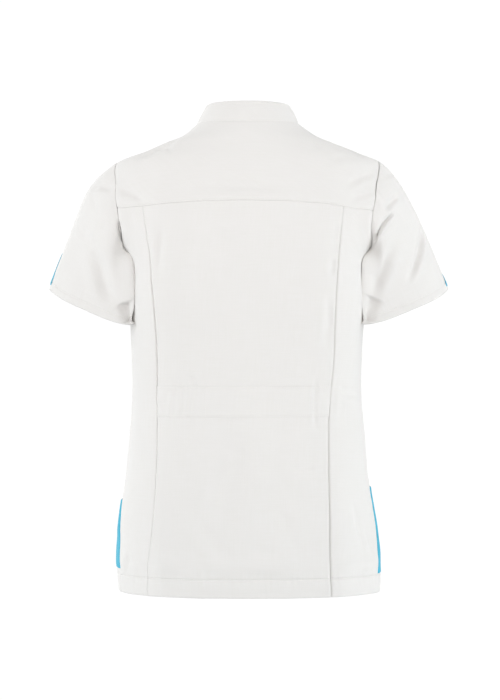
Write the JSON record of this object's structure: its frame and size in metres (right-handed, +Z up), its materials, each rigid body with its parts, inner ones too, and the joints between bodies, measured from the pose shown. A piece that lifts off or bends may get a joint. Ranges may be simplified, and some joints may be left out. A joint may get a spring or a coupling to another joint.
{
  "type": "medical tunic",
  "caption": "Women's short-sleeved medical tunic in its worn, hollow form: stand collar, back yoke, princess seams, half belt, contrast pockets and sleeve inserts.",
  "frame": {"origin": "on the centre plane, level with the neck seam at the centre back, inside the neck opening, where the wearer's neck and shoulders carry the tunic", "axes": "+Z up along the wearer's spine, +X to the wearer's left, -Y out of the front"},
  "size_m": [0.6142, 0.2822, 0.7413],
  "materials": {
    "white_cloth": "matt poly-cotton twill",
    "blue_cloth": "matt poly-cotton twill",
    "stud": "white resin cap"
  },
  "bodies": {
    "root": {"collar": "white_cloth", "back_yoke": "white_cloth", "back_centre": "white_cloth", "back_side_left": "white_cloth", "back_side_right": "white_cloth", "back_waistband": "white_cloth", "front_left": "white_cloth", "front_right": "white_cloth", "sleeve_left": "white_cloth", "sleeve_right": "white_cloth", "sleeve_insert_left": "blue_cloth", "sleeve_insert_right": "blue_cloth", "pocket_left": "blue_cloth", "pocket_right": "blue_cloth", "press_stud_1": "stud", "press_stud_2": "stud", "press_stud_3": "stud", "press_stud_4": "stud", "press_stud_5": "stud", "press_stud_6": "stud"}
  },
  "joints": []
}
